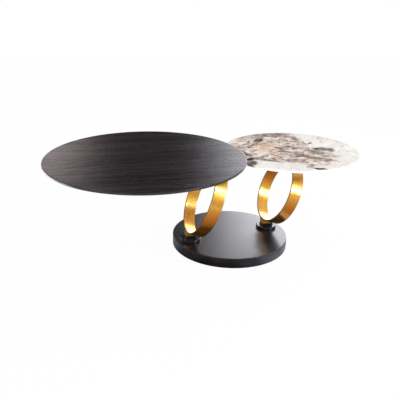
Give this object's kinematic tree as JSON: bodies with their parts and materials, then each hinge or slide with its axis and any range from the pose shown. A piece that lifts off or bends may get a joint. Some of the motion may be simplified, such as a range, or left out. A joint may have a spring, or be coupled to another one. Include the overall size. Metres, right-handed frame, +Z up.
{
  "type": "swivel coffee table",
  "caption": "Swivel coffee table: a large round wood top and a smaller, lower round stone top, each on a leaning metal hoop that turns in a heavy round base.",
  "frame": {"origin": "on the floor, under the centre of the round base", "axes": "+Z up; +X from the wood top's side towards the stone top's side; -Y towards a viewer who sees the wood top on the left and the stone top on the right"},
  "size_m": [1.2629, 0.8425, 0.41],
  "materials": {
    "base_black": "satin",
    "swivel_black": "gloss",
    "gold_bar": "satin",
    "wood_veneer": "satin",
    "marbled_stone": "satin",
    "plate_black": "matte",
    "ballast_steel": "matte",
    "zinc_steel": "satin",
    "bush_acetal": "satin",
    "washer_nylon": "matte",
    "pad_rubber": "matte"
  },
  "bodies": {
    "base": {"base_shell": "base_black", "ballast_disc": "ballast_steel", "ballast_studs": "zinc_steel", "ballast_nuts": "zinc_steel", "bottom_cover": "plate_black", "cover_spacers": "zinc_steel", "cover_screws": "zinc_steel", "floor_pad": "pad_rubber", "large_swivel_housing": "swivel_black", "large_housing_screws": "zinc_steel", "large_upper_bush": "bush_acetal", "large_lower_bush": "bush_acetal", "large_slide_washer": "washer_nylon", "small_swivel_housing": "swivel_black", "small_housing_screws": "zinc_steel", "small_upper_bush": "bush_acetal", "small_lower_bush": "bush_acetal", "small_slide_washer": "washer_nylon"},
    "large_arm": {"large_swivel_shaft": "zinc_steel", "large_lock_washer": "zinc_steel", "large_lock_nut": "zinc_steel", "large_foot_block": "gold_bar", "large_hoop": "gold_bar", "large_head_block": "gold_bar", "board_support_plate": "plate_black", "board_screws": "zinc_steel", "wood_board": "wood_veneer"},
    "small_arm": {"small_swivel_shaft": "zinc_steel", "small_lock_washer": "zinc_steel", "small_lock_nut": "zinc_steel", "small_foot_block": "gold_bar", "small_hoop": "gold_bar", "small_head_block": "gold_bar", "stone_mounting_plate": "plate_black", "mounting_plate_screws": "zinc_steel", "stone_backing_disc": "plate_black", "stone_slab": "marbled_stone"}
  },
  "joints": [
    {"name": "large_top_swivel", "type": "hinge", "parent": "base", "child": "large_arm", "pos_m": [-0.16618, -0.06379, 0.056], "axis": [0, 0, 1], "continuous": true},
    {"name": "small_top_swivel", "type": "hinge", "parent": "base", "child": "small_arm", "pos_m": [0.16618, 0.06379, 0.056], "axis": [0, 0, 1], "range_deg": [-40, 60]}
  ]
}
